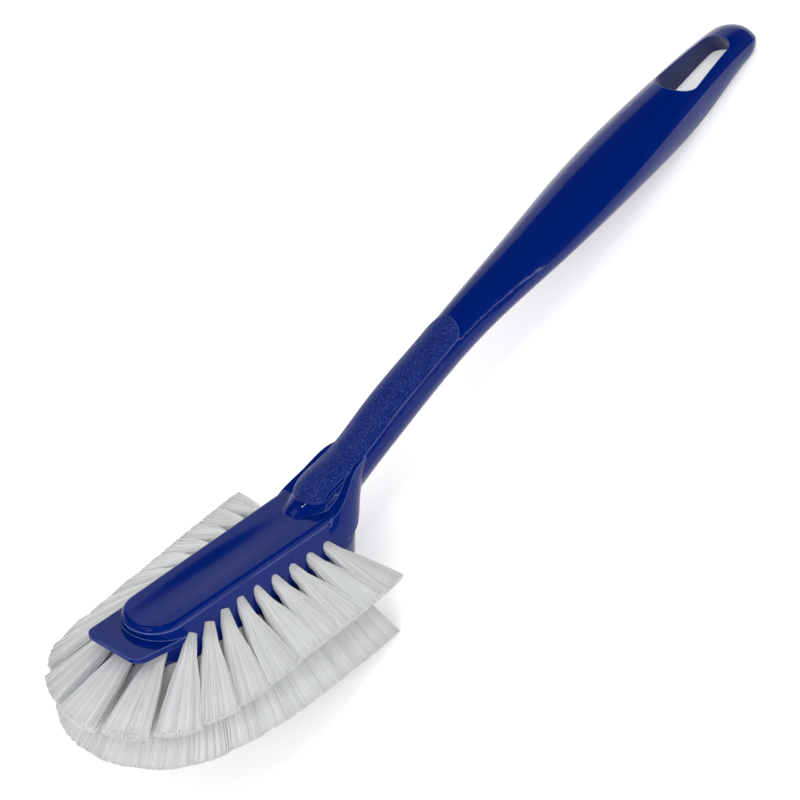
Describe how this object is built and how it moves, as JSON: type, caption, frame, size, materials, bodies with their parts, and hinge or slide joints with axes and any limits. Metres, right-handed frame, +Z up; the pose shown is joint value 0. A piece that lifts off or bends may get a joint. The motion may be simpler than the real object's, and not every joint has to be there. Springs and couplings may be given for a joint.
{
  "type": "dish brush",
  "caption": "Dish brush: a one-piece curved plastic handle and head with a fan of stiff bristle tufts, a flat scraper tip, a raised thumb pad and a hanging slot.",
  "frame": {"origin": "middle of the underside of the box round the brush as it lies on a worktop, on its bristle tips and the underside of its tail", "axes": "+X along the brush from the scraper to the tail, +Y across it, +Z up from the worktop"},
  "size_m": [0.2988, 0.0644, 0.0554],
  "materials": {
    "body": "glossy moulded polypropylene, with a fine grain on the thumb pad",
    "bristles": "translucent white polyester filament, cut square at the tips",
    "anchors": "flat drawn stainless wire"
  },
  "bodies": {
    "root": {"brush_body": "body", "lower_row_anchors": "anchors", "lower_tuft_01": "bristles", "lower_tuft_02": "bristles", "lower_tuft_03": "bristles", "lower_tuft_04": "bristles", "lower_tuft_05": "bristles", "lower_tuft_06": "bristles", "lower_tuft_07": "bristles", "lower_tuft_08": "bristles", "lower_tuft_09": "bristles", "lower_tuft_10": "bristles", "lower_tuft_11": "bristles", "lower_tuft_12": "bristles", "lower_tuft_13": "bristles", "lower_tuft_14": "bristles", "lower_tuft_15": "bristles", "lower_tuft_16": "bristles", "lower_tuft_17": "bristles", "lower_tuft_18": "bristles", "lower_tuft_19": "bristles", "lower_tuft_20": "bristles", "sole_row_anchors": "anchors", "sole_tuft_01": "bristles", "sole_tuft_02": "bristles", "sole_tuft_03": "bristles", "sole_tuft_04": "bristles", "sole_tuft_05": "bristles", "sole_tuft_06": "bristles", "sole_tuft_07": "bristles", "sole_tuft_08": "bristles", "sole_tuft_09": "bristles", "sole_tuft_10": "bristles", "sole_tuft_11": "bristles", "sole_tuft_12": "bristles", "upper_row_anchors": "anchors", "upper_tuft_01": "bristles", "upper_tuft_02": "bristles", "upper_tuft_03": "bristles", "upper_tuft_04": "bristles", "upper_tuft_05": "bristles", "upper_tuft_06": "bristles", "upper_tuft_07": "bristles", "upper_tuft_08": "bristles", "upper_tuft_09": "bristles", "upper_tuft_10": "bristles", "upper_tuft_11": "bristles", "upper_tuft_12": "bristles", "upper_tuft_13": "bristles", "upper_tuft_14": "bristles", "upper_tuft_15": "bristles", "upper_tuft_16": "bristles", "upper_tuft_17": "bristles", "upper_tuft_18": "bristles", "upper_tuft_19": "bristles", "upper_tuft_20": "bristles", "upper_tuft_21": "bristles"}
  },
  "joints": []
}
